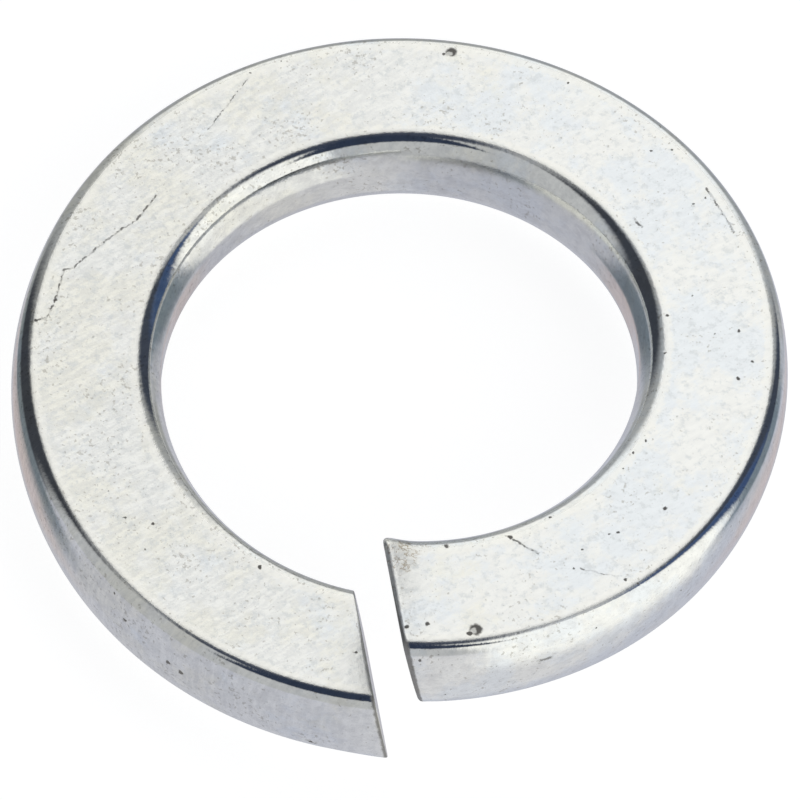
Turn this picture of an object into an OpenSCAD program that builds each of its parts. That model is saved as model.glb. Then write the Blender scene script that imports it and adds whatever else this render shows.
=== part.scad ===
// Spring lock washer, coiled as a left-hand helix from one bar with crowned sides.
// The axis is +Z, the lowest point is at Z = 0 and the split faces -Y.

/* [Washer] */
// Diameter of the bore, at the narrow land inside the ring
bore_d = 16.5; // [16.2:0.1:17.4]
// Width of the bar, from the bore to the outer crest
bar_w = 5.2; // [4.6:0.1:6]
// Thickness of the bar, between its two flats
bar_t = 3.55; // [3.2:0.05:4]
// Rise of the coil over one full turn
rise = 3.7; // [3:0.1:5]

/* [Bar section] */
// Swell of the outer side past the edge of the lower flat
crown_out = 0.6; // [0.5:0.05:0.9]
// Swell of the inner side past the edge of the lower flat
crown_in = 0.85; // [0.6:0.05:1]
// Radius that rounds the lower long edges of the bar
edge_r = 0.4; // [0.25:0.05:0.45]
// Radius that rounds the outer upper edge
outer_edge_r = 0.58; // [0.4:0.02:0.7]
// Radius that rounds the inner upper edge
inner_edge_r = 0.75; // [0.4:0.05:0.9]
// Depth that sizing the bore takes off the inner crest
sizing = 0.06; // [0.03:0.01:0.1]

/* [Split] */
// Gap between the two cut faces, at the middle of the bar
gap = 0.9; // [0.6:0.1:3]
// Turn of the cuts away from the radius, seen from above
cut_skew = 12; // [0:1:20]
// Lean of the cuts away from the axis
cut_lean = 11; // [0:1:15]
// Radius that rounds the edges of the cut faces
cut_r = 0.2; // [0.1:0.05:0.25]
// Height of the burr that the blade leaves on one corner of each end
burr = 0.22; // [0:0.02:0.3]
// Distance over which a burr fades into the bar
burr_reach = 1.3; // [0.8:0.1:2]
// Turn over which the cut's slant fades into square sections of the bar
run_in = 20; // [15:1:30]

/* [Smoothness] */
// Steps round the coil
turn_steps = 96; // [72:12:120]
// Steps across each crowned side
side_steps = 8; // [6:2:10]
// Steps round each rounded edge
edge_steps = 4; // [2:1:5]

/* [Hidden] */

bore_r = bore_d / 2;
outer_r = bore_r + bar_w;
flat_out_r = outer_r - crown_out;
flat_in_r = bore_r - sizing + crown_in;
mid_r = (bore_r + outer_r) / 2;
// Height of the middle of a lower edge's rounding, below the middle of the bar
edge_h = bar_t / 2 - edge_r;
// Turn from the middle of the split to each cut face, at the middle of the bar
half_split = asin(gap / 2 / mid_r);
// Times that the turn of a point on a cut face is refined
REFINE = 8;

// Millimetres along the middle of the bar, as degrees of turn
function as_turn(length) = length / mid_r * 180 / PI;

// Radius of the arc that crowns a side and meets both rounded edges smoothly
function crown_r(crown) =
    (crown * crown + bar_t * bar_t / 4 - bar_t * edge_r) / (2 * (crown - edge_r));

// Points on an arc, as [outward, up], with both ends
function arc(centre, radius, from, to, steps) =
    [for (k = [0:steps])
        let (a = from + (to - from) * k / steps)
        centre + radius * [cos(a), sin(a)]];

// Crowned side of the bar from its lower flat to its upper flat, shrunk by inset,
// with the upper edge rounded to top_r
function side_points(crown, top_r, inset) =
    let (
        radius = crown_r(crown),
        centre = [crown - radius, 0],
        meet = atan2(edge_h, -centre.x),
        top_h = bar_t / 2 - top_r,
        top_x = sqrt(pow(radius - top_r, 2) - pow(top_h, 2)),
        top_meet = atan2(top_h, top_x),
        crest = arc(centre, radius - inset, -meet, top_meet, side_steps)
    )
    concat(
        arc([0, -edge_h], edge_r - inset, -90, -meet, edge_steps),
        [for (k = [1:side_steps - 1]) crest[k]],
        arc(centre + [top_x, top_h], top_r - inset, top_meet, 90, edge_steps)
    );

// The whole section of the bar, as [radius, height above its middle]
function section(inset) =
    let (
        outside = side_points(crown_out, outer_edge_r, inset),
        inside = side_points(crown_in, inner_edge_r, inset),
        last = len(inside) - 1
    )
    concat(
        [for (p = outside) [flat_out_r + p.x, p.y]],
        [for (k = [0:last]) [flat_in_r - inside[last - k].x, inside[last - k].y]]
    );

// Turn at which a point of the section meets its cut face. The low end has side 1
// and the high end has side -1, and both cuts skew and lean the same way.
function cut_turn(p, side, turn = 0, left = REFINE) =
    left == 0 ? turn : cut_turn(p, side, asin((
        side * gap / 2
        - (p.x * cos(turn) - mid_r) * tan(cut_skew)
        + (p.y + rise * turn / 360) * tan(cut_lean)
    ) / p.x), left - 1);

// Strength of a cut's slant at a distance in degrees from its face
function slant(distance) = pow(max(0, 1 - distance / run_in), 2);

// A section point pulled along a burr that grows from one corner of a cut face
function burred(p, corner, out, up, distance) =
    p + burr * [out, up] * pow(max(0, 1 - norm([p.x - corner.x, p.y - corner.y, distance])
        / burr_reach), 2);

// A section point set at a turn along the coil
function on_coil(p, turn) =
    [-p.x * sin(turn), -p.x * cos(turn), p.y + rise * turn / 360];

// Steps that round the edges of a cut face, as [turn from the face, inset]
rounding = [for (k = [0:edge_steps])
    let (a = 90 - 90 * k / edge_steps)
    [as_turn(cut_r * (1 - sin(a))), cut_r * (1 - cos(a))]];

// Turn between the last steps of the two rounded cut faces
first_turn = half_split + rounding[edge_steps][0];
inner_turn = 360 - 2 * first_turn;

// Places of the sections along the coil, as [turn, inset]
stations = concat(
    [for (s = rounding) [half_split + s[0], s[1]]],
    [for (k = [1:turn_steps - 1]) [first_turn + inner_turn * k / turn_steps, 0]],
    [for (k = [0:edge_steps])
        let (s = rounding[edge_steps - k])
        [360 - half_split - s[0], s[1]]]
);

// One section of the coil, with the slant and the burr of the nearer cut
function ring_points(station) =
    let (
        turn = station[0],
        from_low = turn - half_split,
        from_high = 360 - half_split - turn,
        low_mm = from_low * PI / 180 * mid_r,
        high_mm = from_high * PI / 180 * mid_r
    )
    [for (s = section(station[1]))
        let (
            low = burred(s, [flat_out_r, -bar_t / 2], 0.4, -1, low_mm),
            p = burred(low, [flat_in_r, bar_t / 2], -0.4, 1, high_mm),
            shift = (cut_turn(p, 1) - half_split) * slant(from_low)
                + (cut_turn(p, -1) + half_split) * slant(from_high)
        )
        on_coil(p, turn + shift)];

// The bar swept along the coil, with one closed skin
module bar() {
    rings = [for (s = stations) ring_points(s)];
    points = [for (ring = rings) each ring];
    around = len(rings[0]);
    last = len(rings) - 1;
    lowest = min([for (p = points) p.z]);
    skin = [for (j = [0:last - 1], i = [0:around - 1])
        let (
            here = j * around + i,
            beside = j * around + (i + 1) % around
        )
        each [
            [here, beside, beside + around],
            [here, beside + around, here + around]
        ]];
    low_face = [for (i = [0:around - 1]) around - 1 - i];
    high_face = [for (i = [0:around - 1]) last * around + i];
    translate([0, 0, -lowest])
        polyhedron(points = points, faces = concat(skin, [low_face, high_face]), convexity = 6);
}

// The washer, with its bore sized to a true cylinder
module lock_washer() {
    color("gainsboro")
    difference() {
        bar();
        translate([0, 0, -bar_t])
            cylinder(d = bore_d, h = rise + 3 * bar_t, $fn = 128);
    }
}

lock_washer();
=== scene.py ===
"""Spring lock washer: one zinc plated steel bar, coiled as a left-hand helix and cut at the front."""
import math

import bmesh
import bpy
from bpy.props import FloatProperty, FloatVectorProperty, IntProperty, PointerProperty
from mathutils import Matrix, Vector
from mathutils.bvhtree import BVHTree


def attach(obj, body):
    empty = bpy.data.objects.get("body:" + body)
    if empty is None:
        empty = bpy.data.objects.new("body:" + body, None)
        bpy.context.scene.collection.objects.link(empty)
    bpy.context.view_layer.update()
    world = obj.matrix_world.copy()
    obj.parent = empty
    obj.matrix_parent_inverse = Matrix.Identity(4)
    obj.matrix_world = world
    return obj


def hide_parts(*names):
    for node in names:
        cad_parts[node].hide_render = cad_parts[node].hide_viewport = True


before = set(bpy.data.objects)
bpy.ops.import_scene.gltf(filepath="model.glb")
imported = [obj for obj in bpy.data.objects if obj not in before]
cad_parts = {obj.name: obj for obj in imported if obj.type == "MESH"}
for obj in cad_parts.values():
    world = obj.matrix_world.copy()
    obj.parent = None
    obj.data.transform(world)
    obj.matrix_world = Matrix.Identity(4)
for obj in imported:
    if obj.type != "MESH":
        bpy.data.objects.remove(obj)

bl_info = {
    "name": "Spring lock washer",
    "version": (1, 0, 0),
    "blender": (4, 5, 0),
    "location": "View3D > Sidebar > Lock washer",
    "description": "Builds a zinc plated spring lock washer and a small product studio",
    "category": "Add Mesh",
}

MM = 0.001
NODE = "lock_washer"
PIECE = "washer_bar"
# Turn of the first and last step of the coil, which leaves room to round the cut edges
END_TURN = math.radians(4)
# Cuts that divide those two steps, and steps round the edges of a cut face
END_CUTS = 8
CUT_EDGE_STEPS = 4
# Strips beside the edges of a flat and of a cut face, which keep their shading even
FLAT_HEM = 0.05 * MM
CUT_HEM = 0.04 * MM
# Points of the bar closer than this are one
MERGE = 0.001 * MM
# How far a burr leans out of the bar for each step up or down
BURR_LEAN = 0.4
# Rounds in which the turn of a cut is closed in on
TURN_ROUNDS = 8
# What each vertex of the bar notes: its height above the bar's middle and its way from both cuts
LAYERS = ("height", "low_way", "high_way")

# Marks of use. Places on the upper flat are (turn in degrees, radius in mm)
FLAT_PITS = (  # (place, size in mm)
    ((356.8, 12.26), 0.1),
    ((353.5, 12.1), 0.1), ((347.8, 9.02), 0.1), ((323.5, 9.05), 0.07), ((334.0, 9.18), 0.1),
    ((326.0, 11.2), 0.05), ((319.8, 12.49), 0.08), ((318.8, 12.87), 0.06),
    ((305.0, 11.36), 0.09), ((314.8, 10.88), 0.08), ((316.2, 10.75), 0.06),
    ((322.5, 10.72), 0.05), ((293.8, 9.34), 0.06), ((298.0, 9.21), 0.06), ((302.5, 9.28), 0.05),
    ((224.0, 11.97), 0.06), ((226.0, 12.58), 0.06), ((236.8, 11.78), 0.05),
    ((236.8, 12.29), 0.06), ((264.5, 11.68), 0.07), ((265.0, 10.82), 0.05),
    ((270.5, 12.13), 0.07), ((274.2, 11.68), 0.08), ((260.0, 9.24), 0.08), ((269.8, 9.08), 0.06),
    ((255.8, 10.27), 0.05), ((205.0, 12.58), 0.06), ((50.2, 10.66), 0.08), ((54.0, 11.33), 0.07),
    ((60.0, 11.33), 0.05), ((47.0, 11.49), 0.05), ((28.5, 9.28), 0.09), ((5.0, 11.23), 0.06),
    ((184.2, 12.44), 0.09), ((347.1, 12.58), 0.11), ((94.0, 12.74), 0.09), ((98.2, 12.2), 0.07),
    ((152.8, 12.71), 0.06), ((158.0, 12.78), 0.05),
)
# Pits with a brighter middle, which lies to one side: its offset and size are shares of the pit's
RING_PITS = (
    ((185.4, 12.54), 0.24), ((346.0, 12.45), 0.28),
)
RING_MIDDLE = Vector((-0.25, -0.2, 0))
RING_MIDDLE_SIZE = 0.55
RING_MIDDLE_LIGHT = 0.7
FLAT_SCRATCHES = (  # (places along the scratch, width in mm)
    (((334.0, 9.18), (330.2, 10.14)), 0.05),
    (((325.0, 11.33), (321.0, 12.17)), 0.04),
    (((235.2, 12.55), (244.8, 12.52)), 0.05),
    (((233.8, 9.66), (236.5, 9.73)), 0.07),
    (((151.8, 12.52), (141.2, 11.43)), 0.035),
    (((124.8, 10.75), (119.0, 10.72), (112.0, 11.3), (105.2, 11.91), (104.0, 12.23)), 0.05),
    (((104.0, 12.23), (98.2, 12.2), (94.5, 12.42), (94.0, 12.74)), 0.055),
)
# Places on the outer side are (turn in degrees, depth below the upper flat in mm)
SIDE_PITS = (
    ((41.8, 1.15), 0.09), ((33.2, 1.63), 0.12), ((31.0, 1.75), 0.14), ((44.8, 0.42), 0.07),
    ((354.8, 0.48), 0.08), ((352.2, 0.24), 0.05), ((343.5, 1.03), 0.05), ((327.5, 0.6), 0.06),
    ((311.8, 1.39), 0.05), ((350.8, 2.59), 0.05), ((10.0, 2.96), 0.1),
)
SIDE_SCRATCHES = (
    (((337.3, 1.25), (335.0, 1.28)), 0.09),
    (((10.6, 2.9), (9.4, 3.05)), 0.08),
)
# Stains beside the cut of the high end: (place on the upper flat, size in mm)
STAINS = (
    ((357.9, 9.4), 0.75), ((357.9, 9.9), 0.42), ((357.2, 9.0), 0.4), ((352.5, 9.05), 0.25),
)

# The studio as the metal sees it, painted in this order over a grey sky. Directions are
# degrees of azimuth from the back to the right and of elevation.
STUDIO = (  # (name, azimuth, elevation, half width, half height, softness, colour)
    ("floor", 0, -50, 200, 46, 4, (0.56, 0.57, 0.635)),
    ("bright floor", 138, -50, 40, 46, 12, (0.71, 0.71, 0.74)),
    ("left foot", -66, -24, 22, 26, 7, (0.17, 0.20, 0.23)),
    ("right foot", 72, -14, 15, 25, 7, (0.19, 0.23, 0.27)),
    ("left rose", -50, -53, 20, 7, 5, (0.58, 0.51, 0.52)),
    ("right rose", 45, -54, 18, 7, 5, (0.58, 0.52, 0.54)),
    ("flanks", 0, 10, 50, 42, 8, (0.36, 0.37, 0.38)),
    ("pale back", 2, 42, 28, 32, 8, (0.97, 0.97, 0.96)),
    ("ceiling", 0, 90, 200, 17, 4, (0.045, 0.055, 0.085)),
    ("left curtain", -67, 30, 22, 37, 9, (0.045, 0.05, 0.062)),
    ("right curtain", 58, 34, 14, 28, 5, (0.05, 0.06, 0.085)),
    ("blue curtain", 77, 34, 9, 28, 5, (0.05, 0.085, 0.18)),
    ("softbox", 121, 12, 33, 57, 5, (1.04, 1.04, 1.02)),
    ("front curtain", 179, 68, 42, 18, 4, (0.028, 0.039, 0.07)),
    ("back panel", 2, 60, 31, 21, 6, (1.14, 1.14, 1.145)),
)
SKY = (0.50, 0.51, 0.53)
FLOOR_RADIUS = 1.5
PAPER_GLOW = 0.85
PAPER_GREY = (0.35, 0.35, 0.35, 1)
WHITE = (1, 1, 1, 1)
SENSOR_WIDTH = 36
CAMERA_CLIP = (0.05, 20)


# Settings

class WasherSize(bpy.types.PropertyGroup):
    """Sizes of the washer, the same as in its CAD model"""

    bore: FloatProperty(
        name="Bore", description="Diameter of the bore at its narrow land",
        default=16.5 * MM, unit="LENGTH")
    bar_width: FloatProperty(
        name="Bar width", description="From the bore to the outer crest",
        default=5.2 * MM, unit="LENGTH")
    bar_thickness: FloatProperty(
        name="Bar thickness", description="Between the two flats",
        default=3.55 * MM, unit="LENGTH")
    rise: FloatProperty(
        name="Rise", description="Climb of the coil over one full turn",
        default=3.7 * MM, unit="LENGTH")
    crown_out: FloatProperty(
        name="Outer crown", description="Swell of the outer side past the flats",
        default=0.6 * MM, unit="LENGTH")
    crown_in: FloatProperty(
        name="Inner crown", description="Swell of the inner side past the flats",
        default=0.85 * MM, unit="LENGTH")
    edge_radius: FloatProperty(
        name="Edge radius", description="Rounding of the bar's lower edges",
        default=0.4 * MM, unit="LENGTH")
    outer_edge: FloatProperty(
        name="Outer edge", description="Rounding of the outer upper edge",
        default=0.58 * MM, unit="LENGTH")
    inner_edge: FloatProperty(
        name="Inner edge", description="Rounding of the inner upper edge",
        default=0.75 * MM, unit="LENGTH")
    sizing: FloatProperty(
        name="Sizing", description="Depth that sizing the bore takes off the inner crest",
        default=0.06 * MM, unit="LENGTH")
    land_run: FloatProperty(
        name="Land run", description="Radius of the arcs that lead from the sized land",
        default=1.2 * MM, unit="LENGTH")
    gap: FloatProperty(
        name="Gap", description="Between the cut faces, at the middle of the bar",
        default=0.9 * MM, unit="LENGTH")
    cut_skew: FloatProperty(
        name="Cut skew", description="Turn of the cuts away from the radius",
        default=math.radians(12), subtype="ANGLE")
    cut_lean: FloatProperty(
        name="Cut lean", description="Lean of the cuts away from the axis",
        default=math.radians(11), subtype="ANGLE")
    low_cut_ease: FloatProperty(
        name="Low cut ease", description="How much less the low end's cut leans than the high one's",
        default=math.radians(1.7), subtype="ANGLE")
    low_cut_radius: FloatProperty(
        name="Low cut radius", description="Rounding of the edges of the low end's cut",
        default=0.07 * MM, unit="LENGTH")
    high_cut_radius: FloatProperty(
        name="High cut radius", description="Rounding of the edges of the high end's cut",
        default=0.2 * MM, unit="LENGTH")
    burr: FloatProperty(
        name="Burr", description="Height of the burr on the high end's upper inner corner",
        default=0.22 * MM, unit="LENGTH")
    low_burr: FloatProperty(
        name="Low burr", description="Height of the burr on the low end's lower outer corner",
        default=0.171 * MM, unit="LENGTH")
    burr_reach: FloatProperty(
        name="Burr reach", description="Distance over which a burr fades into the bar",
        default=1.3 * MM, unit="LENGTH")
    run_in: FloatProperty(
        name="Run-in", description="Turn over which the slant of a cut fades out",
        default=math.radians(20), subtype="ANGLE")
    coil_steps: IntProperty(
        name="Coil steps", description="Steps round the coil", default=400)
    side_steps: IntProperty(
        name="Side steps", description="Steps across each crowned side", default=20)
    edge_steps: IntProperty(
        name="Edge steps", description="Steps round each rounded edge", default=8)


class WasherFinish(bpy.types.PropertyGroup):
    """Colours and texture of the zinc plate"""

    cream: FloatVectorProperty(
        name="Cream", description="Main colour of the bright zinc",
        default=(0.94, 0.945, 0.905), size=3, subtype="COLOR", min=0, max=1)
    blue: FloatVectorProperty(
        name="Blue", description="Colour of its bluish patches",
        default=(0.85, 0.90, 0.935), size=3, subtype="COLOR", min=0, max=1)
    yellow: FloatVectorProperty(
        name="Yellow", description="Colour of its yellowish patches",
        default=(0.93, 0.905, 0.765), size=3, subtype="COLOR", min=0, max=1)
    speck: FloatVectorProperty(
        name="Speck", description="Colour of the small dull specks",
        default=(0.36, 0.34, 0.29), size=3, subtype="COLOR", min=0, max=1)
    # This colour is also used for the painted shade line in the edges of the cuts
    dirt_and_shade: FloatVectorProperty(
        name="Dirt", description="Colour of the pits and scratches",
        default=(0.07, 0.06, 0.05), size=3, subtype="COLOR", min=0, max=1)
    rim: FloatVectorProperty(
        name="Rim", description="Colour of the bright rim along the edges of the flats",
        default=(0.96, 0.95, 0.88), size=3, subtype="COLOR", min=0, max=1)
    stroke: FloatVectorProperty(
        name="Stroke", description="Colour of the fine strokes",
        default=(0.5, 0.52, 0.53), size=3, subtype="COLOR", min=0, max=1)
    fleck: FloatVectorProperty(
        name="Fleck", description="Colour of the soft grey flecks",
        default=(0.62, 0.655, 0.66), size=3, subtype="COLOR", min=0, max=1)
    # This colour is also used for the painted shade in the bore
    tarnish_and_bore_shade: FloatVectorProperty(
        name="Tarnish", description="Colour of the tarnish on the sides",
        default=(0.50, 0.50, 0.51), size=3, subtype="COLOR", min=0, max=1)
    stain: FloatVectorProperty(
        name="Stain", description="Colour of the brown stains beside the cuts",
        default=(0.42, 0.36, 0.27), size=3, subtype="COLOR", min=0, max=1)
    flat_roughness: FloatProperty(
        name="Flat roughness", description="Roughness of the two flats", default=0.31)
    side_roughness: FloatProperty(
        name="Side roughness", description="Roughness of the rolled sides", default=0.08)
    relief: FloatProperty(
        name="Relief", description="Height of the texture",
        default=0.02 * MM, unit="LENGTH", precision=6)


class StudioSettings(bpy.types.PropertyGroup):
    """Camera, floor and light"""

    elevation: FloatProperty(
        name="Elevation", description="Height of the camera above the washer's plane",
        default=math.radians(57.84), subtype="ANGLE")
    azimuth: FloatProperty(
        name="Azimuth", description="Turn of the camera about the washer's axis",
        default=math.radians(-1.35), subtype="ANGLE")
    roll: FloatProperty(
        name="Roll", description="Roll of the camera, which levels the floor in the picture",
        default=math.radians(4.73), subtype="ANGLE")
    distance: FloatProperty(
        name="Distance", description="From the camera to the point it looks at",
        default=462 * MM, unit="LENGTH")
    lens: FloatProperty(
        name="Lens", description="Focal length in millimetres, on a 36 mm sensor", default=598.5)
    pivot: FloatProperty(
        name="Pivot", description="Height of the point on the axis that the camera turns about",
        default=3.6751 * MM, unit="LENGTH")
    aim: FloatVectorProperty(
        name="Aim", description="Offset of the point looked at, right and up in the picture",
        default=(0.035 * MM, -0.688 * MM), size=2, unit="LENGTH")


# Shape of the bar

class Coil:
    """The helix of the bar, with places given as (turn, radius, height above the bar's middle)"""

    def __init__(self, size):
        self.size = size
        self.bore_r = size.bore / 2
        self.outer_r = self.bore_r + size.bar_width
        self.flat_out = self.outer_r - size.crown_out
        self.flat_in = self.bore_r - size.sizing + size.crown_in
        self.middle_r = (self.bore_r + self.outer_r) / 2
        self.half = size.bar_thickness / 2
        self.half_split = math.asin(size.gap / 2 / self.middle_r)
        self.base = 0.0

    def point(self, turn, radius, height):
        """Place in the washer's frame; turn grows clockwise from the split"""
        z = self.base + height + self.size.rise * turn / math.tau
        return Vector((-radius * math.sin(turn), -radius * math.cos(turn), z))

    def place(self, co):
        """(turn, radius, height) of a point on the bar"""
        radius = math.hypot(co.x, co.y)
        turn = math.atan2(-co.x, -co.y) % math.tau
        turns = (turn - math.tau, turn, turn + math.tau)
        turn = min(turns, key=lambda t: abs(self.height(co, t)))
        return turn, radius, self.height(co, turn)

    def height(self, co, turn):
        """Height of a point above the middle of the bar at a turn"""
        return co.z - self.base - self.size.rise * turn / math.tau

    def outer_side(self, height):
        """Radius of the outer side at a height above the middle of the bar"""
        crown_r = crown_radius(self, self.size.crown_out)
        crown_c = self.flat_out + self.size.crown_out - crown_r
        return crown_c + math.sqrt(crown_r ** 2 - height ** 2)

    def cut_turn(self, radius, height, side):
        """Turn at which a line along the bar meets the cut: side 1 is the low end, -1 the high"""
        ease = (height + self.half) * math.tan(self.size.low_cut_ease) if side > 0 else 0.0
        turn = 0.0
        for _ in range(TURN_ROUNDS):
            turn = math.asin((
                side * self.size.gap / 2 - ease
                - (radius * math.cos(turn) - self.middle_r) * math.tan(self.size.cut_skew)
                + (height + self.size.rise * turn / math.tau) * math.tan(self.size.cut_lean)
            ) / radius)
        return turn

    def slanted(self, turn, radius, height):
        """Turn of a point after the slant of the nearer cut has moved it along the bar"""
        low = turn - self.half_split
        high = math.tau - self.half_split - turn
        shift = (self.cut_turn(radius, height, 1) - self.half_split) * self.fade(low)
        shift += (self.cut_turn(radius, height, -1) + self.half_split) * self.fade(high)
        return turn + shift

    def burred(self, radius, height, burr, corner, out, up, way):
        """A section point pulled along the burr that grows from one corner of a cut face"""
        far = math.hypot(radius - corner[0], height - corner[1], way)
        pull = burr * max(0.0, 1 - far / self.size.burr_reach) ** 2
        return radius + pull * out, height + pull * up

    def fade(self, from_cut):
        """Strength of a cut's slant at a turn away from it"""
        return max(0.0, 1 - from_cut / self.size.run_in) ** 2


def crown_radius(coil, crown):
    """Radius of the arc that crowns a side and runs smoothly into its lower edge"""
    thick, edge = coil.size.bar_thickness, coil.size.edge_radius
    return (crown ** 2 + thick ** 2 / 4 - thick * edge) / (2 * (crown - edge))


def sweep_vertex(bm, vert, centre, angle, steps):
    """Sweeps a vertex round a centre in the XZ plane and gives back the last vertex"""
    made = bmesh.ops.spin(
        bm, geom=[vert], cent=(centre[0], 0, centre[1]), axis=(0, -1, 0), angle=angle,
        steps=steps)
    return next(g for g in made["geom_last"] if isinstance(g, bmesh.types.BMVert))


def draw_line(bm, vert, to):
    """Draws a straight edge from a vertex to a point of the XZ plane"""
    made = bmesh.ops.extrude_vert_indiv(bm, verts=[vert])
    end = made["verts"][0]
    end.co = (to[0], 0, to[1])
    return end


def draw_section(bm, coil):
    """Outline of the bar in the XZ plane: both flats, the rounded edges and the crowned sides"""
    vert = bmesh.ops.create_vert(bm, co=(coil.flat_out, 0, -coil.half))["vert"][0]
    vert = draw_outer_side(bm, coil, vert)
    vert = draw_line(bm, vert, (vert.co.x - FLAT_HEM, coil.half))
    vert = draw_inner_side(bm, coil, vert)
    for x in (coil.flat_in + FLAT_HEM, coil.flat_out - FLAT_HEM, coil.flat_out):
        vert = draw_line(bm, vert, (x, -coil.half))
    bmesh.ops.remove_doubles(bm, verts=bm.verts[:], dist=MERGE)
    return bmesh.ops.contextual_create(bm, geom=bm.edges[:])["faces"][0]


def draw_outer_side(bm, coil, vert):
    """Outer side of the outline, from the lower flat up to the upper one"""
    size = coil.size
    crown_r = crown_radius(coil, size.crown_out)
    crown_x = coil.flat_out + size.crown_out - crown_r
    edge_h = coil.half - size.edge_radius
    meet = math.atan2(edge_h, coil.flat_out - crown_x)
    across, top_meet = upper_edge(coil, crown_r, size.outer_edge)
    top_centre = (crown_x + across, coil.half - size.outer_edge)
    vert = sweep_vertex(bm, vert, (coil.flat_out, -edge_h), math.pi / 2 - meet, size.edge_steps)
    vert = sweep_vertex(bm, vert, (crown_x, 0), meet + top_meet, size.side_steps)
    return sweep_vertex(bm, vert, top_centre, math.pi / 2 - top_meet, size.edge_steps)


def draw_inner_side(bm, coil, vert):
    """Inner side of the outline, from the end of the upper flat down to the lower one"""
    size = coil.size
    crown_r = crown_radius(coil, size.crown_in)
    crown_x = coil.flat_in - size.crown_in + crown_r
    edge_h = coil.half - size.edge_radius
    meet = math.atan2(edge_h, crown_x - coil.flat_in)
    across, top_meet = upper_edge(coil, crown_r, size.inner_edge)
    top_x = crown_x - across
    top_centre = (top_x, coil.half - size.inner_edge)
    for x in (top_x + FLAT_HEM, top_x):
        vert = draw_line(bm, vert, (x, coil.half))

    # The sized land runs into the crown on a wide arc
    run_x = coil.bore_r + size.land_run
    run_h = math.sqrt((crown_r - size.land_run) ** 2 - (crown_x - run_x) ** 2)
    land = math.atan2(run_h, crown_x - run_x)
    half_side = size.side_steps // 2
    vert = sweep_vertex(bm, vert, top_centre, math.pi / 2 - top_meet, size.edge_steps)
    vert = sweep_vertex(bm, vert, (crown_x, 0), top_meet - land, half_side)
    vert = sweep_vertex(bm, vert, (run_x, run_h), land, size.edge_steps)
    vert = draw_line(bm, vert, (coil.bore_r, 0))
    vert = draw_line(bm, vert, (coil.bore_r, -run_h))
    vert = sweep_vertex(bm, vert, (run_x, -run_h), land, size.edge_steps)
    vert = sweep_vertex(bm, vert, (crown_x, 0), meet - land, half_side)
    return sweep_vertex(bm, vert, (coil.flat_in, -edge_h), math.pi / 2 - meet, size.edge_steps)


def upper_edge(coil, crown_r, edge):
    """Offset of an upper edge's centre from its crown's, and the angle at which the two meet"""
    up = coil.half - edge
    across = math.sqrt((crown_r - edge) ** 2 - up ** 2)
    return across, math.atan2(up, across)


def spin_section(bm, face, coil, turn, steps):
    """Spins the section clockwise along the helix and gives back the new end face"""
    geom = [face, *face.edges, *face.verts]
    made = bmesh.ops.spin(
        bm, geom=geom, cent=(0, 0, 0), axis=(0, 0, -1), angle=turn, steps=steps,
        dvec=(0, 0, coil.size.rise * turn / math.tau / steps))
    return next(g for g in made["geom_last"] if isinstance(g, bmesh.types.BMFace))


def build_bar(coil):
    """The coiled bar as a bmesh, square at both ends"""
    bm = bmesh.new()
    size = coil.size
    low_face = draw_section(bm, coil)
    # The section is drawn on +X; the bar starts beside the split, on -Y
    start = Matrix.Rotation(-math.pi / 2 - coil.half_split, 3, "Z")
    climb = Vector((0, 0, size.rise * coil.half_split / math.tau))
    for vert in bm.verts:
        vert.co = start @ vert.co + climb

    middle_turn = math.tau - 2 * coil.half_split - 2 * END_TURN
    face = spin_section(bm, low_face, coil, END_TURN, 1)
    face = spin_section(bm, face, coil, middle_turn, size.coil_steps)
    high_face = spin_section(bm, face, coil, END_TURN, 1)
    round_end(bm, low_face, size.low_cut_radius)
    round_end(bm, high_face, size.high_cut_radius)
    ends = [e for e in bm.edges if abs(end_to_end(coil, e)) > END_TURN / 2]
    bmesh.ops.subdivide_edges(bm, edges=ends, cuts=END_CUTS, use_grid_fill=True)
    bmesh.ops.recalc_face_normals(bm, faces=bm.faces[:])
    return bm


def end_to_end(coil, edge):
    """Turn between the two ends of an edge"""
    first, second = (coil.place(v.co)[0] for v in edge.verts)
    return second - first


def round_end(bm, face, radius):
    """Rounds the edges of an end face and keeps the rest of it flat"""
    made = bmesh.ops.bevel(
        bm, geom=face.edges[:], offset=radius, offset_type="OFFSET", segments=CUT_EDGE_STEPS,
        profile=0.5, affect="EDGES", clamp_overlap=True, material=-1, loop_slide=True)
    around = {f for v in made["verts"] for f in v.link_faces}
    cut = max(around, key=lambda f: len(f.verts))
    bmesh.ops.inset_region(bm, faces=[cut], thickness=CUT_HEM)


def cut_ends(bm, coil):
    """Slants both ends as the blade cut them, raises their burrs and fills in LAYERS, in mm"""
    layers = [bm.verts.layers.float.new(name) for name in LAYERS]
    low_corner = (coil.flat_out, -coil.half)
    high_corner = (coil.flat_in, coil.half)
    for vert in bm.verts:
        turn, radius, height = coil.place(vert.co)
        low_way = (turn - coil.half_split) * coil.middle_r
        high_way = (math.tau - coil.half_split - turn) * coil.middle_r
        radius, height = coil.burred(
            radius, height, coil.size.low_burr, low_corner, BURR_LEAN, -1, low_way)
        radius, height = coil.burred(
            radius, height, coil.size.burr, high_corner, -BURR_LEAN, 1, high_way)
        turn = coil.slanted(turn, radius, height)
        vert.co = coil.point(turn, radius, height)
        for layer, length in zip(layers, (height, low_way, high_way)):
            vert[layer] = length / MM


def add_object(context, bm, name, material):
    """Puts a finished bmesh into the scene as an object of one material"""
    mesh = bpy.data.meshes.new(name)
    bm.to_mesh(mesh)
    bm.free()
    mesh.materials.append(material)
    made = bpy.data.objects.new(name, mesh)
    context.collection.objects.link(made)
    return made


# Node trees

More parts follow.
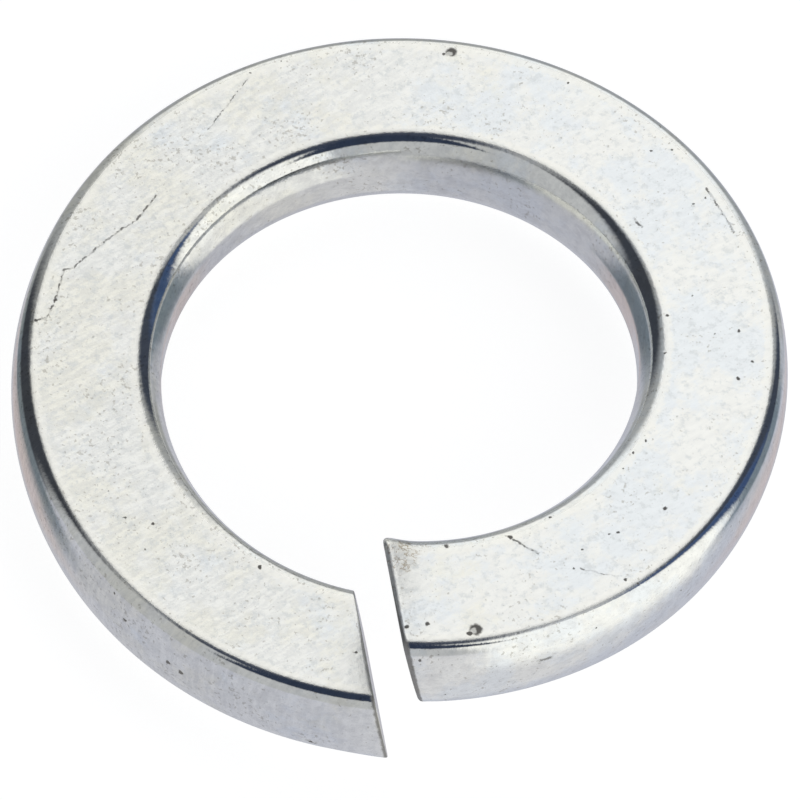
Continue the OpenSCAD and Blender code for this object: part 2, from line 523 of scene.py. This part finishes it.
class Wiring:
    """Adds nodes to a node tree and joins them"""

    def __init__(self, tree):
        self.tree = tree

    def node(self, kind, inputs=None, **settings):
        made = self.tree.nodes.new(kind)
        for name, value in settings.items():
            setattr(made, name, value)
        for name, value in (inputs or {}).items():
            self.feed(made.inputs[name], value)
        return made

    def feed(self, socket, value):
        if isinstance(value, bpy.types.NodeSocket):
            self.tree.links.new(value, socket)
        else:
            socket.default_value = value

    def math(self, operation, first, second=0.0, third=0.0):
        inputs = {0: first, 1: second, 2: third}
        return self.node("ShaderNodeMath", inputs, operation=operation).outputs[0]

    def vector(self, operation, first, second=(0, 0, 0), scale=1.0):
        inputs = {0: first, 1: second, 3: scale}
        made = self.node("ShaderNodeVectorMath", inputs, operation=operation)
        return made.outputs[1 if operation in {"LENGTH", "DISTANCE", "DOT_PRODUCT"} else 0]

    def between(self, share, low, high):
        """Value that goes straight from low to high as the share goes from 0 to 1"""
        return self.math("MULTIPLY_ADD", share, high - low, low)

    def fade(self, value, start, end):
        """Smooth step from 0 to 1 as the value goes from start to end"""
        inputs = {"Value": value, "From Min": start, "From Max": end}
        made = self.node("ShaderNodeMapRange", inputs, interpolation_type="SMOOTHSTEP")
        return made.outputs["Result"]

    def blend(self, factor, first, second):
        made = self.node("ShaderNodeMix", data_type="RGBA")
        self.feed(made.inputs[0], factor)
        self.feed(made.inputs[6], first)
        self.feed(made.inputs[7], second)
        return made.outputs[2]

    def noise(self, vector, scale, detail, roughness):
        inputs = {"Vector": vector, "Scale": scale, "Detail": detail, "Roughness": roughness}
        return self.node("ShaderNodeTexNoise", inputs).outputs

    def group(self, tree, inputs):
        return self.node("ShaderNodeGroup", inputs, node_tree=tree).outputs


def new_group(name, inputs, outputs):
    """A node group with named sockets; gives back its wiring, its inputs and its output node"""
    tree = bpy.data.node_groups.new(name, "ShaderNodeTree")
    for socket, kind in inputs.items():
        tree.interface.new_socket(socket, in_out="INPUT", socket_type=kind)
    for socket, kind in outputs.items():
        tree.interface.new_socket(socket, in_out="OUTPUT", socket_type=kind)
    wiring = Wiring(tree)
    given = wiring.node("NodeGroupInput").outputs
    return wiring, given, wiring.node("NodeGroupOutput")


FLOAT, VECTOR = "NodeSocketFloat", "NodeSocketVector"


def pit_group():
    """Mask of a small round mark"""
    w, given, out = new_group(
        "pit", {"Place": VECTOR, "Centre": VECTOR, "Size": FLOAT}, {"Mask": FLOAT})
    far = w.vector("DISTANCE", given["Place"], given["Centre"])
    inside = w.math("MULTIPLY", given["Size"], 0.55)
    w.feed(out.inputs["Mask"], w.fade(far, given["Size"], inside))
    return w.tree


def scratch_group():
    """Mask of a straight scratch"""
    w, given, out = new_group(
        "scratch", {"Place": VECTOR, "From": VECTOR, "To": VECTOR, "Width": FLOAT},
        {"Mask": FLOAT})
    along = w.vector("SUBTRACT", given["To"], given["From"])
    seen = w.vector("SUBTRACT", given["Place"], given["From"])
    share = w.math("DIVIDE", w.vector("DOT_PRODUCT", seen, along),
                   w.vector("DOT_PRODUCT", along, along))
    share = w.node("ShaderNodeClamp", {"Value": share}).outputs[0]
    far = w.vector("DISTANCE", seen, w.vector("SCALE", along, scale=share))
    inside = w.math("MULTIPLY", given["Width"], 0.4)
    w.feed(out.inputs["Mask"], w.fade(far, given["Width"], inside))
    return w.tree


def speckle_group():
    """Small scattered specks, thicker in some places than in others"""
    w, given, out = new_group(
        "speckle", {"Place": VECTOR, "Size": FLOAT, "Amount": FLOAT}, {"Mask": FLOAT})
    fine = w.math("DIVIDE", 1.0, given["Size"])
    grain = w.noise(given["Place"], scale=fine, detail=2.0, roughness=0.6)[0]
    crowd = w.noise(given["Place"], scale=0.45, detail=2.0, roughness=0.6)[0]
    start = w.math("SUBTRACT", 0.80, w.math("MULTIPLY", crowd, given["Amount"]))
    w.feed(out.inputs["Mask"], w.fade(grain, start, w.math("ADD", start, 0.09)))
    return w.tree


def stroke_group():
    """Short fine strokes, all in one direction"""
    w, given, out = new_group(
        "strokes", {"Place": VECTOR, "Angle": FLOAT, "Length": FLOAT, "Width": FLOAT},
        {"Mask": FLOAT})
    turned = w.node("ShaderNodeVectorRotate", {"Vector": given["Place"], "Angle": given["Angle"]},
                    rotation_type="Z_AXIS").outputs[0]
    spread = w.node("ShaderNodeCombineXYZ", {
        "X": w.math("DIVIDE", 1.0, given["Length"]), "Y": w.math("DIVIDE", 1.0, given["Width"]),
        "Z": 1.0}).outputs[0]
    grain = w.noise(
        w.vector("MULTIPLY", turned, spread), scale=1.0, detail=3.0, roughness=0.6)[0]
    w.feed(out.inputs["Mask"], w.fade(grain, 0.35, 0.65))
    return w.tree


# Zinc plate

# How strongly each layer of the finish covers what lies under it, from 0 to 1
BLUE_COVER, YELLOW_COVER = 0.7, 0.45
# The mark cover also sets how dark the painted shade line in the edges of the cuts is
STROKE_COVER, SPECK_COVER, MARK_AND_SHADE_COVER = 0.27, 0.5, 0.85
SIDE_FLECK_COVER, FLAT_FLECK_COVER = 0.22, 0.48
# The bore's cover is for painted shade, not tarnish
SIDE_TARNISH_COVER, BORE_SHADE_COVER = 0.22, 0.3
# The second cover here is for the painted shade line in the edges of the cuts
RIM_COVER, CUT_SHADE_COVER = 0.55, 0.85
# What is added to the roughness below the upper edges, on the cut faces and in the marks and painted
# shade line
LOWER_ROUGHNESS, CUT_ROUGHNESS, MARK_ROUGHNESS = 0.12, 0.1, 0.3
# Metallic value of the flats, and the change that a mark or the painted shade line makes
FLAT_METALLIC, MARK_METALLIC = 0.88, -0.5
# Shares of the relief's height: grain on the sides and the flats, strokes, lines on the cut faces
SIDE_GRAIN, FLAT_GRAIN, STROKE_RELIEF, SHEAR_RELIEF = 0.18, 0.5, 0.1, 1.6
# Widths of the painted shade line in the edges of the cut at the low and the high end, in mm
CUT_SHADE_WIDTHS = (0.12, 0.21)
STROKE_ANGLE = math.radians(-38)


class Skin:
    """Sockets that tell where a point of the bar's surface lies, in mm, and how grainy it is"""

    def __init__(self, w, coil):
        self.place = w.vector(
            "SCALE", w.node("ShaderNodeTexCoord").outputs["Object"], scale=1 / MM)
        self.height, self.low_way, self.high_way = (
            w.node("ShaderNodeAttribute", attribute_name=name).outputs["Fac"]
            for name in LAYERS)
        self.radius = w.vector("LENGTH", w.vector("MULTIPLY", self.place, (1, 1, 0)))
        half = coil.half / MM
        self.flat = w.fade(w.math("ABSOLUTE", self.height), half - 0.03, half - 0.002)
        self.side = w.math("SUBTRACT", 1.0, self.flat)
        self.lower = w.math("SUBTRACT", 1.0, w.fade(self.height, half - 0.775, half - 0.275))
        self.cut_face = w.fade(w.math("MINIMUM", self.low_way, self.high_way), 0.03, 0.0)
        self.across = w.node("ShaderNodeSeparateXYZ", {"Vector": self.place}).outputs["X"]
        self.left = w.fade(self.across, 4.0, -6.0)
        grain = w.noise(self.place, scale=4.5, detail=3.0, roughness=0.6)
        self.grain = grain["Fac"]
        self.worn = w.fade(self.grain, 0.46, 0.56)
        sway = w.vector("SUBTRACT", grain["Color"], (0.5, 0.5, 0.5))
        self.ragged = w.vector("ADD", self.place, w.vector("SCALE", sway, scale=0.22))

    def swayed(self, w, value, reach):
        """A value that wanders with the grain, over the reach"""
        return w.math("MULTIPLY_ADD", w.math("SUBTRACT", self.grain, 0.5), reach, value)


def zinc_material(coil, finish):
    """Bright zinc, mottled blue and yellow, with specks, strokes, pits, scratches and painted shade
    at the cuts and in the bore
    """
    material = bpy.data.materials.new("zinc_plate_worn")
    material.use_nodes = True
    material.node_tree.nodes.clear()
    w = Wiring(material.node_tree)
    skin = Skin(w, coil)
    pit = pit_group()
    strokes = strokes_mask(w, skin)
    # Pits and scratches, joined with the painted shade line in the edges of the cuts
    marks_and_shade = w.math("MAXIMUM", marks_mask(w, skin, coil, pit), cut_edge_shade_mask(w, skin))

    layers = (
        (w.math("MULTIPLY", strokes, STROKE_COVER), finish.stroke),
        (flecks_mask(w, skin), finish.fleck),
        # Tarnish clouds on the sides, and painted shade in the bore below its upper edge
        (tarnish_and_bore_shade_mask(w, skin, coil), finish.tarnish_and_bore_shade),
        (rim_mask(w, skin, coil), finish.rim),
        (stains_mask(w, skin, coil, pit), finish.stain),
        (w.math("MULTIPLY", specks_mask(w, skin, coil), SPECK_COVER), finish.speck),
        # Dirt in the pits and scratches, and painted shade in the edges of the cuts
        (w.math("MULTIPLY", marks_and_shade, MARK_AND_SHADE_COVER), finish.dirt_and_shade),
    )
    colour = mottled_colour(w, skin, finish)
    for cover, paint in layers:
        colour = w.blend(cover, colour, (*paint, 1))

    metallic = w.between(skin.flat, 1.0, FLAT_METALLIC)
    shader = w.node("ShaderNodeBsdfPrincipled", {
        "Base Color": colour, "Roughness": zinc_roughness(w, skin, finish, marks_and_shade),
        "Metallic": w.math("MULTIPLY_ADD", marks_and_shade, MARK_METALLIC, metallic),
        "Normal": zinc_relief(w, skin, finish, strokes)})
    w.node("ShaderNodeOutputMaterial", {"Surface": shader.outputs[0]})
    return material


def mottled_colour(w, skin, finish):
    """Cream zinc with soft bluish and yellowish patches, bluer on the right"""
    patches = w.noise(skin.place, scale=0.42, detail=5.0, roughness=0.7)
    bluish = w.math("MULTIPLY_ADD", skin.across, 0.008, patches["Fac"])
    bluish = w.math("MULTIPLY", w.fade(bluish, 0.48, 0.63), BLUE_COVER)
    green = w.node("ShaderNodeSeparateColor", {"Color": patches["Color"]}).outputs["Green"]
    yellowish = w.math("MULTIPLY_ADD", skin.across, -0.009, green)
    yellowish = w.math("MULTIPLY", w.fade(yellowish, 0.50, 0.66), YELLOW_COVER)
    colour = w.blend(bluish, (*finish.cream, 1), (*finish.blue, 1))
    return w.blend(yellowish, colour, (*finish.yellow, 1))


def zinc_roughness(w, skin, finish, marks_and_shade):
    """Bright sides and satin flats, duller below the upper edges, on cut faces, in pits and scratches
    and in the painted shade line
    """
    rough = w.between(skin.flat, finish.side_roughness, finish.flat_roughness)
    rough = w.math("MULTIPLY_ADD", marks_and_shade, MARK_ROUGHNESS, rough)
    rough = w.math("MULTIPLY_ADD", skin.lower, LOWER_ROUGHNESS, rough)
    return w.math("MULTIPLY_ADD", skin.cut_face, CUT_ROUGHNESS, rough)


def zinc_relief(w, skin, finish, strokes):
    """Normal of the grain, the strokes and the lines that the blade drew down the cut faces"""
    drawn = w.vector("MULTIPLY", skin.place, (1.0, 1.0, 0.12))
    shear = w.noise(drawn, scale=6.0, detail=2.0, roughness=0.6)[0]
    relief = w.math("MULTIPLY", skin.grain, w.between(skin.flat, SIDE_GRAIN, FLAT_GRAIN))
    for lines, where, height in (
            (strokes, skin.flat, STROKE_RELIEF), (shear, skin.cut_face, SHEAR_RELIEF)):
        relief = w.math("MULTIPLY_ADD", w.math("MULTIPLY", lines, where), height, relief)
    return w.node("ShaderNodeBump", {"Height": relief, "Distance": finish.relief}).outputs[0]


def strokes_mask(w, skin):
    """Fine strokes, stronger on the left"""
    strokes = w.group(stroke_group(), {
        "Place": skin.ragged, "Angle": STROKE_ANGLE, "Length": 0.6, "Width": 0.15})[0]
    return w.math("MULTIPLY", strokes, w.between(skin.left, 0.4, 1.0))


def flecks_mask(w, skin):
    """Soft grey flecks, stronger on the flats than on the sides"""
    flecks = w.noise(skin.place, scale=3.2, detail=3.0, roughness=0.75)[0]
    cover = w.between(skin.flat, SIDE_FLECK_COVER, FLAT_FLECK_COVER)
    return w.math("MULTIPLY", w.fade(flecks, 0.5, 0.68), cover)


def tarnish_and_bore_shade_mask(w, skin, coil):
    """Clouds of tarnish on both sides, and on the bore below its upper edge an even painted shade
    that stands in for the shaded floor it reflects
    """
    clouds = w.noise(
        w.vector("MULTIPLY", skin.place, (1.0, 1.0, 1.6)), scale=1.9, detail=3.0,
        roughness=0.75)[0]
    clouds = w.math("MULTIPLY", skin.side, w.fade(clouds, 0.42, 0.66))
    inner = coil.flat_in / MM
    # Painted shade: the bore darkened evenly below its upper edge
    bore = w.math("MULTIPLY", w.fade(skin.radius, inner + 0.16, inner - 0.14), skin.lower)
    bore = w.math("MULTIPLY", bore, BORE_SHADE_COVER)
    return w.math("MULTIPLY_ADD", clouds, SIDE_TARNISH_COVER, bore)


def rim_mask(w, skin, coil):
    """Bright worn rim just inside the outer and the inner edge of each flat"""
    radius = skin.swayed(w, skin.radius, 0.5)
    outer, inner = coil.flat_out / MM, coil.flat_in / MM
    edges = w.math("MAXIMUM", w.fade(radius, outer - 0.38, outer - 0.24),
                   w.fade(radius, inner + 0.4, inner + 0.25))
    return w.math("MULTIPLY", w.math("MULTIPLY", edges, skin.flat), RIM_COVER)


def specks_mask(w, skin, coil):
    """Dull specks, thicker towards the edges of the flats and on the left"""
    from_middle = w.math("ABSOLUTE", w.math("SUBTRACT", skin.radius, coil.middle_r / MM))
    amount = w.between(w.fade(from_middle, 1.1, 2.0), 0.305, 0.34)
    amount = w.math("MULTIPLY_ADD", skin.left, 0.05, amount)
    return w.group(speckle_group(), {"Place": skin.place, "Size": 0.15, "Amount": amount})[0]


def stains_mask(w, skin, coil, pit):
    """The stains, most of each in thin wandering lines"""
    stains = join_masks(w, [
        w.group(pit, {
            "Place": skin.ragged, "Centre": flat_spot(coil, spot), "Size": size})[0]
        for spot, size in STAINS])
    wander = w.noise(skin.place, scale=2.6, detail=3.0, roughness=0.6)[0]
    line = w.fade(w.math("ABSOLUTE", w.math("SUBTRACT", wander, 0.5)), 0.035, 0.01)
    return w.math("MULTIPLY", stains, w.between(line, 0.1, 0.8))


def marks_mask(w, skin, coil, pit):
    """All pits and scratches in one mask, with the scratches broken up where they are worn"""
    scratch = scratch_group()
    wear = w.between(skin.worn, 0.2, 0.8)

    def pit_at(centre, size):
        return w.group(pit, {"Place": skin.ragged, "Centre": centre, "Size": size})[0]

    masks = []
    for spot, size in RING_PITS:
        centre = flat_spot(coil, spot)
        middle = pit_at(centre + RING_MIDDLE * size, size * RING_MIDDLE_SIZE)
        masks.append(w.math("MULTIPLY_ADD", middle, -RING_MIDDLE_LIGHT, pit_at(centre, size)))
    for pits, scratches, spot_at in (
            (FLAT_PITS, FLAT_SCRATCHES, flat_spot), (SIDE_PITS, SIDE_SCRATCHES, side_spot)):
        masks += [pit_at(spot_at(coil, spot), size) for spot, size in pits]
        for spots, width in scratches:
            for start, end in zip(spots, spots[1:]):
                whole = w.group(scratch, {
                    "Place": skin.ragged, "From": spot_at(coil, start),
                    "To": spot_at(coil, end), "Width": width})[0]
                masks.append(w.math("MULTIPLY", whole, wear))
    return join_masks(w, masks)


def cut_edge_shade_mask(w, skin):
    """Painted shade: a dark line in the edges of both cuts, standing in for their shading, but not on
    the cut faces or the flats
    """
    lines = []
    for way, width in zip((skin.low_way, skin.high_way), CUT_SHADE_WIDTHS):
        ragged = skin.swayed(w, way, 0.12)
        lines.append(w.math(
            "MULTIPLY", w.fade(way, 0.004, 0.02), w.fade(ragged, width, width - 0.07)))
    line = w.math("MAXIMUM", *lines)
    return w.math("MULTIPLY", line, w.between(skin.flat, CUT_SHADE_COVER, 0.0))


def flat_spot(coil, spot):
    """Place, in mm, of a mark on the upper flat"""
    turn, radius = spot
    return coil.point(math.radians(turn), radius * MM, coil.half) / MM


def side_spot(coil, spot):
    """Place, in mm, of a mark on the outer side"""
    turn, depth = spot
    height = coil.half - depth * MM
    return coil.point(math.radians(turn), coil.outer_side(height), height) / MM


def join_masks(w, masks):
    """The strongest of several masks"""
    joined = masks[0]
    for mask in masks[1:]:
        joined = w.math("MAXIMUM", joined, mask)
    return joined


class WASHER_OT_add_bar(bpy.types.Operator):
    """Coil the washer's bar and plate it"""

    bl_idname = "washer.add_bar"
    bl_label = "Add the coiled bar"

    def execute(self, context):
        coil = Coil(context.scene.washer_size)
        bm = build_bar(coil)
        cut_ends(bm, coil)
        lowest = min(v.co.z for v in bm.verts)
        bmesh.ops.translate(bm, verts=bm.verts[:], vec=(0, 0, -lowest))
        coil.base = -lowest
        for face in bm.faces:
            face.smooth = True
        finish = context.scene.washer_finish
        bar = add_object(context, bm, PIECE, zinc_material(coil, finish))
        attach(bar, "root")
        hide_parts(NODE)
        return {"FINISHED"}


# Studio

def patch_group():
    """Mask of one soft-edged rectangle of the studio"""
    w, given, out = new_group(
        "studio_patch",
        {"Azimuth": FLOAT, "Elevation": FLOAT, "Azimuth Centre": FLOAT,
         "Elevation Centre": FLOAT, "Half Width": FLOAT, "Half Height": FLOAT,
         "Softness": FLOAT},
        {"Mask": FLOAT})
    aside = w.math("SUBTRACT", given["Azimuth"], given["Azimuth Centre"])
    aside = w.math("ABSOLUTE", w.math("WRAP", aside, 180.0, -180.0))
    above = w.math("ABSOLUTE", w.math("SUBTRACT", given["Elevation"], given["Elevation Centre"]))
    sides = []
    for value, half in ((aside, given["Half Width"]), (above, given["Half Height"])):
        inner = w.math("SUBTRACT", half, given["Softness"])
        outer = w.math("ADD", half, given["Softness"])
        sides.append(w.fade(value, outer, inner))
    w.feed(out.inputs["Mask"], w.math("MULTIPLY", *sides))
    return w.tree


def paint_world(scene):
    """White for the camera, and for the metal a studio with a softbox, curtains and a floor"""
    world = bpy.data.worlds.new("studio")
    world.use_nodes = True
    world.node_tree.nodes.clear()
    scene.world = world
    w = Wiring(world.node_tree)
    direction = w.node("ShaderNodeTexCoord").outputs["Generated"]
    x, y, z = w.node("ShaderNodeSeparateXYZ", {"Vector": direction}).outputs
    azimuth = w.math("DEGREES", w.math("ARCTAN2", x, y))
    elevation = w.math("DEGREES", w.math("ARCSINE", z))
    patch = patch_group()
    colour = (*SKY, 1)
    for name, azimuth_c, elevation_c, half_width, half_height, softness, paint in STUDIO:
        made = w.node("ShaderNodeGroup", node_tree=patch, label=name)
        for socket, value in zip(made.inputs, (
                azimuth, elevation, azimuth_c, elevation_c, half_width, half_height, softness)):
            w.feed(socket, value)
        colour = w.blend(made.outputs[0], colour, (*paint, 1))
    sees = w.node("ShaderNodeLightPath").outputs["Is Camera Ray"]
    colour = w.blend(sees, colour, WHITE)
    background = w.node("ShaderNodeBackground", {"Color": colour, "Strength": 1.0})
    w.node("ShaderNodeOutputWorld", {"Surface": background.outputs[0]})


def resting_plane(bar):
    """A point and the upward normal of the plane that the washer rests on"""
    bm = bmesh.new()
    bm.from_mesh(bar.data)
    bmesh.ops.convex_hull(bm, input=bm.verts[:])
    tree = BVHTree.FromBMesh(bm)
    centre = sum((v.co for v in bm.verts), Vector()) / len(bm.verts)
    well_below = centre - Vector((0, 0, 50 * MM))
    spot, normal, _, _ = tree.ray_cast(well_below, Vector((0, 0, 1)))
    bm.free()
    return spot, normal if normal.z > 0 else -normal


def add_floor(context, bar):
    """White floor under the washer, which keeps its shadow"""
    spot, normal = resting_plane(bar)
    bm = bmesh.new()
    bmesh.ops.create_circle(bm, cap_ends=True, segments=96, radius=FLOOR_RADIUS)
    turn = Vector((0, 0, 1)).rotation_difference(normal).to_matrix().to_4x4()
    bmesh.ops.transform(bm, verts=bm.verts[:], matrix=Matrix.Translation(spot) @ turn)
    floor = add_object(context, bm, "studio_floor", floor_material())
    floor.visible_glossy = False


def floor_material():
    """White paper that shows a faint shadow"""
    material = bpy.data.materials.new("white_paper")
    material.use_nodes = True
    material.node_tree.nodes.clear()
    w = Wiring(material.node_tree)
    glow = w.node("ShaderNodeEmission", {"Color": WHITE, "Strength": PAPER_GLOW})
    paper = w.node("ShaderNodeBsdfDiffuse", {"Color": PAPER_GREY})
    both = w.node("ShaderNodeAddShader", {0: glow.outputs[0], 1: paper.outputs[0]})
    w.node("ShaderNodeOutputMaterial", {"Surface": both.outputs[0]})
    return material


class WASHER_OT_add_studio(bpy.types.Operator):
    """Add the floor, the studio around it and the camera"""

    bl_idname = "washer.add_studio"
    bl_label = "Add the studio"

    def execute(self, context):
        add_floor(context, bpy.data.objects[PIECE])
        paint_world(context.scene)
        add_camera(context)
        return {"FINISHED"}


def add_camera(context):
    """Camera at the photograph's viewing angle"""
    studio = context.scene.washer_studio
    turned = (
        Matrix.Rotation(studio.azimuth, 4, "Z")
        @ Matrix.Rotation(math.pi / 2 - studio.elevation, 4, "X")
        @ Matrix.Rotation(studio.roll, 4, "Z")
    )
    data = bpy.data.cameras.new("photo_camera")
    data.lens = studio.lens
    data.sensor_width = SENSOR_WIDTH
    data.clip_start, data.clip_end = CAMERA_CLIP
    camera = bpy.data.objects.new("photo_camera", data)
    pivot = Vector((0, 0, studio.pivot))
    offset = turned.to_3x3() @ Vector((studio.aim[0], studio.aim[1], studio.distance))
    camera.matrix_world = Matrix.Translation(pivot + offset) @ turned
    context.collection.objects.link(camera)
    context.scene.camera = camera


class WASHER_PT_panel(bpy.types.Panel):
    """Sizes, finish and studio of the lock washer"""

    bl_idname = "WASHER_PT_panel"
    bl_label = "Lock washer"
    bl_space_type = "VIEW_3D"
    bl_region_type = "UI"
    bl_category = "Lock washer"

    def draw(self, context):
        scene = context.scene
        for title, settings in (
                ("Size", scene.washer_size), ("Finish", scene.washer_finish),
                ("Studio", scene.washer_studio)):
            box = self.layout.box()
            box.label(text=title)
            for name in settings.__annotations__:
                box.prop(settings, name)
        self.layout.operator(WASHER_OT_add_bar.bl_idname)
        self.layout.operator(WASHER_OT_add_studio.bl_idname)


CLASSES = (
    WasherSize,
    WasherFinish,
    StudioSettings,
    WASHER_OT_add_bar,
    WASHER_OT_add_studio,
    WASHER_PT_panel,
)


def register():
    for cls in CLASSES:
        bpy.utils.register_class(cls)
    bpy.types.Scene.washer_size = PointerProperty(type=WasherSize)
    bpy.types.Scene.washer_finish = PointerProperty(type=WasherFinish)
    bpy.types.Scene.washer_studio = PointerProperty(type=StudioSettings)


def unregister():
    del bpy.types.Scene.washer_studio
    del bpy.types.Scene.washer_finish
    del bpy.types.Scene.washer_size
    for cls in reversed(CLASSES):
        bpy.utils.unregister_class(cls)


def main():
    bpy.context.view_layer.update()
    register()
    bpy.context.scene.view_settings.view_transform = "Standard"
    bpy.ops.washer.add_bar()
    bpy.ops.washer.add_studio()


if __name__ == "__main__":
    main()
